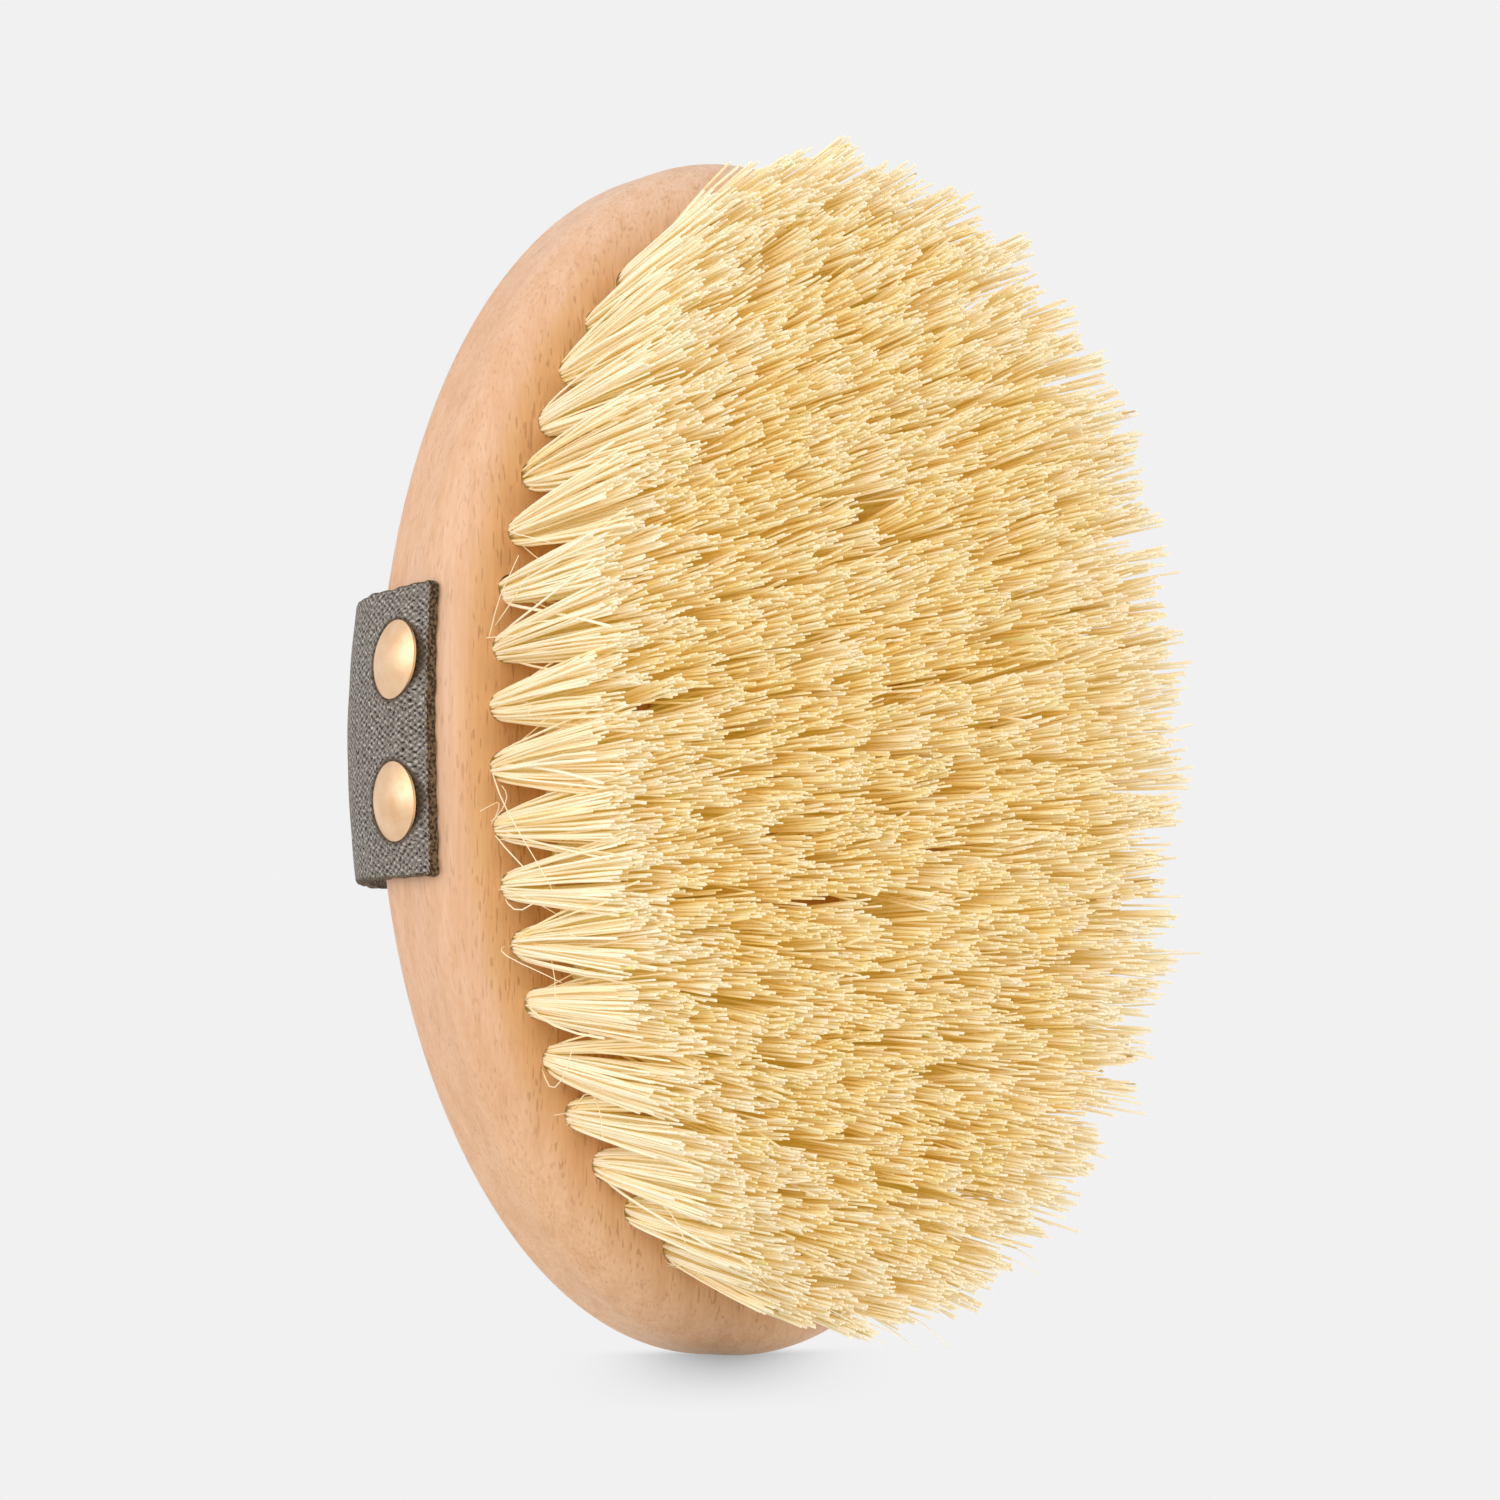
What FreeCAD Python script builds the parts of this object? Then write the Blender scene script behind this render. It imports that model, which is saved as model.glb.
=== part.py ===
import FreeCAD, Part
import math
import os
import Sketcher
from FreeCAD import Placement, Rotation, Vector

# Body dry brush: an oval beech block filled with bristle tufts, with a fabric hand strap nailed to its sides.
#
# The brush stands on one end of its oval. +Z runs along its length, +X is to the right as seen from the
# bristles, the bristles point to -Y and the strap arches towards +Y. The origin is at the bottom centre of
# the whole brush. Lengths are in millimetres.
#
# "Depth" below is the distance from the bristle face into the block, along +Y. It is negative in front of
# the face, where the bristles are.

SHEET_VALUES = {
    "block_length": 140.0,
    "block_width": 87.0,
    "block_thickness": 18.0,
    "front_round": 6.0,
    "back_round": 6.0,
    "tuft_margin": 8.4,
    "tuft_pitch": 6.8,
    "ring_step": 7.1,
    "ring_count": 5,
    "centre_tufts": 5,
    "bristle_length": 27.0,
    "tuft_hole_diameter": 3.5,
    "tuft_hole_depth": 12.2,
    "tuft_root_radius": 1.15,
    "tuft_face_radius": 1.6,
    "tip_spread_length": 4.4,
    "tip_spread_width": 0.8,
    "level_tips_length": 54.0,
    "end_tips_drop": 6.5,
    "anchor_height": 2.0,
    "anchor_thickness": 0.4,
    "strap_width": 33.6,
    "strap_waist_width": 32.0,
    "strap_thickness": 1.5,
    "strap_lift": 0.9,
    "strap_gap": 0.15,
    "strap_wrap_angle": 38.0,
    "strap_spring_depth": 11.5,
    "strap_arch_height": 31.0,
    "strap_top_bow": 0.08,
    "tack_depth": 7.0,
    "tack_spacing": 16.0,
    "tack_head_radius": 4.5,
    "tack_head_rise": 1.7,
    "tack_rim": 0.3,
    "tack_shank_radius": 0.75,
    "tack_shank_length": 7.5,
    "tack_point_length": 1.5,
}

# A bundle of bristles is made this much too long, and then trimmed.
TRIM_ALLOWANCE = 3.0

# How many cross-sections the strap has round the front edge, up the side wall and over half of its arch.
WRAP_STEPS = 4
WALL_STEPS = 3
ARCH_STEPS = 30

doc = FreeCAD.newDocument("body_dry_brush")


# ---------------------------------------------------------------- driving dimensions

def make_sheet():
    """The spreadsheet: one named row for each driving dimension."""
    sheet = doc.addObject("Spreadsheet::Sheet", "dims")
    for row, (name, value) in enumerate(SHEET_VALUES.items(), start=1):
        sheet.set(f"A{row}", name)
        sheet.set(f"B{row}", str(value))
        sheet.setAlias(f"B{row}", name)
    doc.recompute()
    return sheet


dims = make_sheet()


def dim(name):
    """A driving dimension as the spreadsheet holds it."""
    return float(dims.get(name))


half_length = dim("block_length") / 2
half_width = dim("block_width") / 2

# Along Y the whole brush reaches from the bristle tips to the outside of the strap's arch, and the
# origin is halfway between the two.
arch_outside_depth = dim("strap_spring_depth") + dim("strap_arch_height") + dim("strap_thickness") / 2
face_y = (dim("bristle_length") - arch_outside_depth) / 2


def at(x, depth, z):
    """The point that lies at a depth from the bristle face, with z counted from the block's centre."""
    return Vector(x, face_y + depth, half_length + z)


# ---------------------------------------------------------------- block

def origin_plane(body, role):
    for feature in body.Origin.OriginFeatures:
        if feature.Role == role:
            return feature
    raise RuntimeError(f"{body.Label} has no {role}")


def attached_sketch(body, role, name):
    sketch = body.newObject("Sketcher::SketchObject", name)
    sketch.AttachmentSupport = (origin_plane(body, role), [""])
    sketch.MapMode = "FlatFace"
    return sketch


def bound(sketch, kind, arguments, name, expression):
    """Adds a dimension to the sketch, and binds it to the spreadsheet."""
    index = sketch.addConstraint(Sketcher.Constraint(kind, *arguments))
    sketch.renameConstraint(index, name)
    sketch.setExpression(f"Constraints.{name}", expression)


def face_edges(body, depth_y):
    """Names of the edges of a body that lie wholly in one plane parallel to the bristle face."""
    found = []
    for number, edge in enumerate(body.Shape.Edges, start=1):
        box = edge.BoundBox
        if abs(box.YMin - depth_y) < 0.01 and abs(box.YMax - depth_y) < 0.01:
            found.append(f"Edge{number}")
    return found


def rounded_edge(body, name, depth_y, radius_name):
    base = body.Tip
    fillet = body.newObject("PartDesign::Fillet", name)
    fillet.Base = (base, face_edges(base, depth_y))
    fillet.setExpression("Radius", f"dims.{radius_name}")
    body.Tip = fillet
    doc.recompute()


def make_block_blank():
    """The oval block before drilling: an ellipse padded to the thickness, then rounded front and back."""
    body = doc.addObject("PartDesign::Body", "block_blank")
    oval = attached_sketch(body, "XZ_Plane", "oval_outline")
    top = Vector(0, half_length, 0)
    side = Vector(half_width, 0, 0)
    ellipse = oval.addGeometry(Part.Ellipse(top, side, Vector(0, 0, 0)), False)
    oval.exposeInternalGeometry(ellipse)
    major_axis, minor_axis = ellipse + 1, ellipse + 2
    oval.addConstraint(Sketcher.Constraint("Coincident", ellipse, 3, -1, 1))
    oval.addConstraint(Sketcher.Constraint("Vertical", major_axis))
    bound(oval, "Distance", (major_axis, 2 * half_length), "long_axis", "dims.block_length")
    bound(oval, "Distance", (minor_axis, 2 * half_width), "short_axis", "dims.block_width")

    pad = body.newObject("PartDesign::Pad", "block_pad")
    pad.Profile = oval
    pad.setExpression("Length", "dims.block_thickness")
    pad.Reversed = True
    body.Tip = pad
    doc.recompute()
    rounded_edge(body, "front_edge_round", 0.0, "front_round")
    rounded_edge(body, "back_edge_round", dim("block_thickness"), "back_round")
    body.Placement = Placement(at(0, 0, 0), Rotation())
    doc.recompute()
    return body


# ---------------------------------------------------------------- tuft layout

def ring_half_axes(ring):
    """Half width and half length of one of the ovals on which the tufts stand; ring 0 is the outermost."""
    inset = dim("tuft_margin") + ring * dim("ring_step")
    return half_width - inset, half_length - inset


def ring_points(ring):
    """Tuft places (x, z) at equal steps along one oval, with one at its top and one at its bottom."""
    half_x, half_z = ring_half_axes(ring)
    curve = Part.Ellipse(Vector(0, half_z, 0), Vector(half_x, 0, 0), Vector(0, 0, 0)).toShape()
    count = 2 * round(curve.Length / dim("tuft_pitch") / 2)
    return [(point.x, point.y) for point in curve.discretize(Number=count + 1)[:-1]]


def centre_points():
    """The straight row of tufts inside the innermost oval."""
    count = int(dim("centre_tufts"))
    return [(0.0, (place - (count - 1) / 2) * dim("tuft_pitch")) for place in range(count)]


def sector(x, z):
    height = "upper" if z > -0.01 else "lower"
    side = "left" if x < -0.01 else "right"
    return f"{height}_{side}"


def tuft_groups():
    """Tuft places by node: each oval is split into its four quarters, and the centre row is one group."""
    groups = {}
    for ring in range(int(dim("ring_count"))):
        for x, z in ring_points(ring):
            groups.setdefault(f"tufts_ring_{ring + 1}_{sector(x, z)}", []).append((x, z))
    groups["tufts_centre"] = centre_points()
    return groups


def tuft_direction(x, z):
    """Unit vector from a tuft's hole to its tips: the tufts fan outwards towards the rim."""
    lean_x = x / half_width * dim("tip_spread_width")
    lean_z = z / half_length * dim("tip_spread_length")
    return Vector(lean_x, -dim("bristle_length"), lean_z).normalize()


def tip_drop(z):
    """How far the tips are trimmed back at z from the centre: not at all in the middle, most at the ends."""
    level_half = dim("level_tips_length") / 2
    past_level = max(abs(z) - level_half, 0) / (half_length - dim("tuft_margin") - level_half)
    return dim("end_tips_drop") * past_level**2


def tip_normal(z):
    """Unit vector square to the trimmed tips at z from the centre."""
    step = 0.01
    slope = (tip_drop(z + step) - tip_drop(z - step)) / (2 * step)
    return Vector(0, -1, slope).normalize()


def point_on_axis(x, z, depth):
    """The point at a depth on the slanting axis of the tuft that comes out of the face at x, z."""
    direction = tuft_direction(x, z)
    return at(x, 0, z) + direction * (depth / direction.y)


# ---------------------------------------------------------------- tufts and anchors

def tuft_solid(x, z):
    """One bundle of bristles: a slim cone that widens from its root to its tips, which are trimmed flat."""
    root_depth = dim("tuft_hole_depth") - dim("anchor_height")
    tip_depth = tip_drop(z) - dim("bristle_length")
    direction = tuft_direction(x, z)
    growth = (dim("tuft_face_radius") - dim("tuft_root_radius")) / root_depth
    length = (root_depth - tip_depth + TRIM_ALLOWANCE) / abs(direction.y)
    end_radius = dim("tuft_root_radius") + growth * length
    bundle = Part.makeCone(
        dim("tuft_root_radius"), end_radius, length, point_on_axis(x, z, root_depth), direction
    )
    kept = Part.makeBox(2 * length, 2 * length, 2 * length, Vector(-length, -length, -2 * length))
    kept.Placement = Placement(
        point_on_axis(x, z, tip_depth), Rotation(Vector(0, 0, 1), tip_normal(z))
    )
    return bundle.common(kept)


def anchor_solid(x, z):
    """The flat wire at the bottom of a tuft hole, which the tuft is folded over."""
    direction = tuft_direction(x, z)
    width = math.sqrt(dim("tuft_hole_diameter") ** 2 - dim("anchor_thickness") ** 2)
    corner = Vector(-width / 2, -dim("anchor_thickness") / 2, 0)
    wire = Part.makeBox(width, dim("anchor_thickness"), dim("anchor_height"), corner)
    wire.Placement = Placement(
        point_on_axis(x, z, dim("tuft_hole_depth")), Rotation(Vector(0, 0, 1), direction)
    )
    return wire


def hole_tool(x, z):
    """The drill for one blind tuft hole. It starts a little in front of the face."""
    direction = tuft_direction(x, z)
    clear = 1.0
    length = (dim("tuft_hole_depth") + clear) / abs(direction.y)
    return Part.makeCylinder(
        dim("tuft_hole_diameter") / 2, length, point_on_axis(x, z, -clear), direction * -1
    )


# ---------------------------------------------------------------- strap and tack places

def wall_recess(z):
    """How far the oval's side wall has drawn in from its widest place, at z from the centre."""
    return half_width * (1 - math.sqrt(1 - (z / half_length) ** 2))


def tack_seats():
    """Where the four tacks sit on the strap, by node name: (place under the head, outward direction)."""
    surface_x = half_width + dim("strap_gap") + dim("strap_thickness")
    seats = {}
    for side_name, side in (("left", -1), ("right", 1)):
        for height_name, height in (("upper", 1), ("lower", -1)):
            level = dim("strap_lift") + height * dim("tack_spacing") / 2
            slope = half_width * level / half_length**2
            place = at(side * (surface_x - wall_recess(level)), dim("tack_depth"), level)
            outward = Vector(side, 0, slope).normalize()
            seats[f"tack_{side_name}_{height_name}"] = (place, outward)
    return seats


def shank_tool(place, outward):
    """The straight hole that a tack's shank fills in the strap and the block."""
    clear = dim("strap_thickness")
    length = dim("tack_shank_length") + clear
    return Part.makeCylinder(dim("tack_shank_radius"), length, place + outward * clear, outward * -1)


def strap_stations():
    """Cross-sections along the strap: (x, depth) of its middle, its outward direction and its bow.

    The strap starts on the rounded front edge, runs up the flat side wall, and springs over the back as
    half an ellipse. The bow is 1 where the strap follows the oval wall. It is less round the front edge, and
    fades along the arch, whose top is nearly straight across.
    """
    offset = dim("strap_gap") + dim("strap_thickness") / 2
    wall_x = half_width + offset
    start_depth = dim("front_round")
    spring_depth = dim("strap_spring_depth")
    edge_radius = dim("front_round") + offset
    top_bow = dim("strap_top_bow")
    stations = []
    for step in range(WRAP_STEPS):
        angle = math.radians(dim("strap_wrap_angle") * (1 - step / WRAP_STEPS))
        x = half_width - dim("front_round") + edge_radius * math.cos(angle)
        depth = start_depth - edge_radius * math.sin(angle)
        stations.append((x, depth, (math.cos(angle), -math.sin(angle)), math.cos(angle)))
    for step in range(WALL_STEPS):
        depth = start_depth + (spring_depth - start_depth) * step / WALL_STEPS
        stations.append((wall_x, depth, (1.0, 0.0), 1.0))
    for step in range(ARCH_STEPS + 1):
        angle = math.pi / 2 * step / ARCH_STEPS
        x = wall_x * math.cos(angle)
        depth = spring_depth + dim("strap_arch_height") * math.sin(angle)
        normal_x = math.cos(angle) * dim("strap_arch_height")
        normal_y = math.sin(angle) * wall_x
        size = math.hypot(normal_x, normal_y)
        bow = top_bow + (1 - top_bow) * math.cos(angle) ** 2
        stations.append((x, depth, (normal_x / size, normal_y / size), bow))
    mirrored = [(-x, depth, (-nx, ny), bow) for x, depth, (nx, ny), bow in reversed(stations[:-1])]
    return stations + mirrored


def half_strap_at(depth):
    """Half the strap's width: it narrows from its nailed ends to a waist over the back."""
    rise = depth / (dim("strap_spring_depth") + dim("strap_arch_height"))
    spare = (dim("strap_width") - dim("strap_waist_width")) * (1 - rise) ** 3
    return (dim("strap_waist_width") + spare) / 2


def strap_section(x, depth, normal, bow):
    """The closed outline of the strap's cross-section at one station, bowed along the oval wall."""
    half_strap = half_strap_at(depth)
    half_thickness = dim("strap_thickness") / 2

    def corner(across, outwards):
        level = across + dim("strap_lift")
        shift = outwards - bow * wall_recess(level)
        return at(x + normal[0] * shift, depth + normal[1] * shift, level)

    outer = Part.Arc(
        corner(-half_strap, half_thickness), corner(0, half_thickness), corner(half_strap, half_thickness)
    )
    inner = Part.Arc(
        corner(half_strap, -half_thickness), corner(0, -half_thickness), corner(-half_strap, -half_thickness)
    )
    upper_side = Part.LineSegment(outer.EndPoint, inner.StartPoint)
    lower_side = Part.LineSegment(inner.EndPoint, outer.StartPoint)
    return Part.Wire([curve.toShape() for curve in (outer, upper_side, inner, lower_side)])


# ---------------------------------------------------------------- tacks

def pin_point(sketch, curve, end, name, radial, height):
    """Fixes one end of a curve at its distance from the tack's axis and its height above the strap."""
    if radial is None:
        sketch.addConstraint(Sketcher.Constraint("PointOnObject", curve, end, -2))
    else:
        bound(sketch, "DistanceX", (-1, 1, curve, end, 1.0), f"{name}_radial", radial)
    if height is None:
        sketch.addConstraint(Sketcher.Constraint("PointOnObject", curve, end, -1))
    else:
        bound(sketch, "DistanceY", (-1, 1, curve, end, 1.0), f"{name}_height", height)


def make_tack(name, place, outward):
    """A brass tack: a domed head and a pointed shank, turned about the body's own Z axis."""
    body = doc.addObject("PartDesign::Body", name)
    profile = attached_sketch(body, "XZ_Plane", f"{name}_profile")
    head, rim, rise = dim("tack_head_radius"), dim("tack_rim"), dim("tack_head_rise")
    shank, length, point = dim("tack_shank_radius"), dim("tack_shank_length"), dim("tack_point_length")

    corners = [(0, rise), (0, -length), (shank, point - length), (shank, 0), (head, 0), (head, rim)]
    places = [Vector(x, y, 0) for x, y in corners]
    lines = [
        profile.addGeometry(Part.LineSegment(start, end), False)
        for start, end in zip(places[:-1], places[1:])
    ]
    dome_height = rise - rim
    dome_radius = (head**2 + dome_height**2) / (2 * dome_height)
    half_angle = math.asin(head / dome_radius)
    dome_circle = Part.Circle(Vector(0, rise - dome_radius, 0), Vector(0, 0, 1), dome_radius)
    dome = profile.addGeometry(
        Part.ArcOfCircle(dome_circle, math.pi / 2 - half_angle, math.pi / 2), False
    )

    for first, second in zip(lines[:-1], lines[1:]):
        profile.addConstraint(Sketcher.Constraint("Coincident", first, 2, second, 1))
    profile.addConstraint(Sketcher.Constraint("Coincident", lines[-1], 2, dome, 1))
    profile.addConstraint(Sketcher.Constraint("Coincident", dome, 2, lines[0], 1))
    profile.addConstraint(Sketcher.Constraint("PointOnObject", dome, 3, -2))
    pin_point(profile, lines[0], 1, "apex", None, "dims.tack_head_rise")
    pin_point(profile, lines[1], 1, "tip", None, "-dims.tack_shank_length")
    pin_point(profile, lines[2], 1, "point", "dims.tack_shank_radius",
              "dims.tack_point_length - dims.tack_shank_length")
    pin_point(profile, lines[3], 1, "neck", "dims.tack_shank_radius", None)
    pin_point(profile, lines[4], 1, "rim_foot", "dims.tack_head_radius", None)
    pin_point(profile, dome, 1, "rim_top", "dims.tack_head_radius", "dims.tack_rim")

    turned = body.newObject("PartDesign::Revolution", f"{name}_turned")
    turned.Profile = profile
    turned.ReferenceAxis = (profile, ["V_Axis"])
    turned.Angle = 360.0
    body.Tip = turned
    body.Placement = Placement(place, Rotation(Vector(0, 0, 1), outward))
    doc.recompute()
    return body


# ---------------------------------------------------------------- document objects

def shape_object(name, shape):
    feature = doc.addObject("Part::Feature", name)
    feature.Shape = shape
    return feature


def cut_object(name, base, tool):
    cut = doc.addObject("Part::Cut", name)
    cut.Base = base
    cut.Tool = tool
    doc.recompute()
    return cut


def labelled(feature, label):
    feature.Label = label
    return feature


def build():
    """Makes every sub-part, and returns the objects whose Labels name the files."""
    groups = tuft_groups()
    seats = tack_seats()
    shank_tools = [shank_tool(place, outward) for place, outward in seats.values()]
    parts = []

    blank = make_block_blank()
    hole_tools = [hole_tool(x, z) for places in groups.values() for x, z in places]
    drills = shape_object("block_drills", Part.makeCompound(hole_tools + shank_tools))
    parts.append(labelled(cut_object("drilled_block", blank, drills), "wood_block"))

    for name, places in groups.items():
        bundles = Part.makeCompound([tuft_solid(x, z) for x, z in places])
        parts.append(labelled(shape_object(name, bundles), name))

    anchors = {f"anchors_ring_{ring + 1}": ring_points(ring) for ring in range(int(dim("ring_count")))}
    anchors["anchors_centre"] = centre_points()
    for name, places in anchors.items():
        wires = Part.makeCompound([anchor_solid(x, z) for x, z in places])
        parts.append(labelled(shape_object(name, wires), name))

    sections = [strap_section(*station) for station in strap_stations()]
    band = shape_object("strap_band", Part.makeLoft(sections, True, False))
    punches = shape_object("strap_punches", Part.makeCompound(shank_tools))
    parts.append(labelled(cut_object("punched_strap", band, punches), "hand_strap"))

    for name, (place, outward) in seats.items():
        parts.append(labelled(make_tack(f"{name}_body", place, outward), name))
    doc.recompute()
    return parts


def check(parts):
    """Stops the build if any object failed, or if a sub-part isn't one or more sound solids."""
    for feature in doc.Objects:
        if "Invalid" in feature.State or "Error" in feature.State:
            raise RuntimeError(f"{feature.Label} failed: {feature.State}")
    for part in parts:
        shape = part.Shape
        if shape.isNull() or not shape.isValid() or not shape.Solids:
            raise RuntimeError(f"{part.Label} has no sound shape")


def write(parts):
    os.makedirs("parts", exist_ok=True)
    for part in parts:
        part.Shape.exportStep(f"parts/{part.Label}.step")
        print(f"{part.Label}: {len(part.Shape.Solids)} solids, {part.Shape.Volume:.1f} mm3")


finished = build()
check(finished)
write(finished)
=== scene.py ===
"""Body dry brush: beech block, plant-fibre tufts, knitted hand strap and brass tacks, on a pale floor."""
import math

import bpy
import numpy as np
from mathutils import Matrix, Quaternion, Vector


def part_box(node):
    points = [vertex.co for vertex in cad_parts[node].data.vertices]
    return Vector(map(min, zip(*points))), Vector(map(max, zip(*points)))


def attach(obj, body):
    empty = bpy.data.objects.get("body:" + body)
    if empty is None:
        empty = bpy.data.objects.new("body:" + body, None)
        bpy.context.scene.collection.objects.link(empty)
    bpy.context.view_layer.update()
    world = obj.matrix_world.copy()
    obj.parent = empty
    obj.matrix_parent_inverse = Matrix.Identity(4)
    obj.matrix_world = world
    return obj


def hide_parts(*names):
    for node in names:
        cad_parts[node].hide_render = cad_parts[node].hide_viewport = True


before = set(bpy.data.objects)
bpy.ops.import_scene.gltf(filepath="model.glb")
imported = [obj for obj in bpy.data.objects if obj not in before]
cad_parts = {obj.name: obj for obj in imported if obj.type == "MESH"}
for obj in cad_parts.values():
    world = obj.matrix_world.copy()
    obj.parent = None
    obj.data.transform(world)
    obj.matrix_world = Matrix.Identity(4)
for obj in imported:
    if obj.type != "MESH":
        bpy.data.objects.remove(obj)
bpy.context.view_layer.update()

MM = 0.001
block_low, block_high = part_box("wood_block")
strap_low, strap_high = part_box("hand_strap")
FACE_Y = block_low.y
HALF_WIDTH = (block_high.x - block_low.x) / 2
HALF_LENGTH = (block_high.z - block_low.z) / 2
CENTRE_Z = (block_high.z + block_low.z) / 2


# ---------------------------------------------------------------- node materials
# Noise scales are in cycles per metre, or per millimetre on the strap's own map.

def srgb(red, green, blue):
    """A linear colour from 8-bit display values."""
    def linear(value):
        value /= 255
        return value / 12.92 if value <= 0.04045 else ((value + 0.055) / 1.055) ** 2.4
    return (linear(red), linear(green), linear(blue), 1.0)


class Nodes:
    """A material with one Principled shader, and short calls for the nodes that feed it."""

    def __init__(self, name, **sockets):
        self.material = bpy.data.materials.new(name)
        self.material.use_nodes = True
        self.tree = self.material.node_tree
        self.shader = self.tree.nodes["Principled BSDF"]
        for socket, value in sockets.items():
            self.shader.inputs[socket.replace("_", " ")].default_value = value

    def add(self, kind, **settings):
        node = self.tree.nodes.new(kind)
        for key, value in settings.items():
            setattr(node, key, value)
        return node

    def link(self, source, target):
        """Feeds a socket from a node's output, or sets it to a number, a vector or a colour."""
        if isinstance(source, (int, float, tuple)):
            target.default_value = source
        else:
            self.tree.links.new(source, target)

    def feed(self, socket, source):
        self.link(source, self.shader.inputs[socket])

    def place(self):
        """Position in the brush's own frame, in metres."""
        return self.add("ShaderNodeTexCoord").outputs["Object"]

    def uv(self, layer):
        return self.add("ShaderNodeUVMap", uv_map=layer).outputs["UV"]

    def split(self, vector):
        node = self.add("ShaderNodeSeparateXYZ")
        self.link(vector, node.inputs[0])
        return node.outputs

    def join(self, x, y):
        """A vector of x and y, with no z."""
        node = self.add("ShaderNodeCombineXYZ")
        for source, socket in zip((x, y), node.inputs):
            self.link(source, socket)
        return node.outputs[0]

    def combine(self, operation, first, second):
        node = self.add("ShaderNodeVectorMath", operation=operation)
        for source, socket in zip((first, second), node.inputs):
            self.link(source, socket)
        return node.outputs[0]

    def scaled(self, vector, scale):
        return self.combine("MULTIPLY", vector, scale)

    def moved(self, vector, shift):
        return self.combine("ADD", vector, shift)

    def noise(self, vector, detail=2.0, rough=0.5, distortion=0.0, output="Fac"):
        node = self.add("ShaderNodeTexNoise")
        settings = (("Vector", vector), ("Scale", 1.0), ("Detail", detail), ("Roughness", rough),
                    ("Distortion", distortion))
        for name, source in settings:
            self.link(source, node.inputs[name])
        return node.outputs[output]

    def calc(self, operation, first, second=0.0, third=0.0, clamp=False):
        node = self.add("ShaderNodeMath", operation=operation, use_clamp=clamp)
        for source, socket in zip((first, second, third), node.inputs):
            self.link(source, socket)
        return node.outputs[0]

    def fade(self, value, start, end, low=0.0, high=1.0):
        """low below start, high above end, and smooth between."""
        node = self.add("ShaderNodeMapRange", interpolation_type="SMOOTHSTEP")
        for source, socket in zip((value, start, end, low, high), node.inputs):
            self.link(source, socket)
        return node.outputs[0]

    def ramp(self, value, *stops):
        """A colour ramp through (position, colour) stops."""
        node = self.add("ShaderNodeValToRGB")
        elements = node.color_ramp.elements
        while len(elements) < len(stops):
            elements.new(0.5)
        for element, (position, colour) in zip(elements, stops):
            element.position = position
            element.color = colour
        self.link(value, node.inputs[0])
        return node.outputs[0]

    def mix(self, factor, first, second, blend="MIX"):
        node = self.add("ShaderNodeMix", data_type="RGBA", blend_type=blend)
        for source, name in ((factor, 0), (first, 6), (second, 7)):
            self.link(source, node.inputs[name])
        return node.outputs[2]

    def bump(self, height, strength, distance, under=None):
        """Relief of the given strength and depth in metres, laid over another relief if one is given."""
        node = self.add("ShaderNodeBump")
        node.inputs["Strength"].default_value = strength
        node.inputs["Distance"].default_value = distance
        self.link(height, node.inputs["Height"])
        if under is not None:
            self.link(under, node.inputs["Normal"])
        return node.outputs[0]


WOOD_BANDS = (60, 45, 7)
WOOD_STREAKS = (520, 520, 16)
WOOD_GRAIN = (2600, 2600, 60)
WOOD_FLECKS = (3400, 3400, 520)
WOOD_FLECK_GROUPS = (500, 500, 120)
# Where the painted lit side colour starts, behind the bristle face and near the top; the face before it is
# painted as shaded by the bristles.
LIT_SIDE_DEPTH = (0.03 * MM, 1.1 * MM)
LIT_SIDE_HEIGHT = (0.80, 0.96)
# Where the top of the block is painted paler, as lit from above.
PAINTED_TOP_LIGHT_HEIGHT = (0.86, 0.98)
# Where the foot of the block is painted paler, as lit by the floor below.
PAINTED_FOOT_LIGHT_HEIGHT = (0.08, 0.33)
FLECK_STRENGTH_FACE = 0.40
FLECK_STRENGTH_DROP = -0.20


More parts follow.
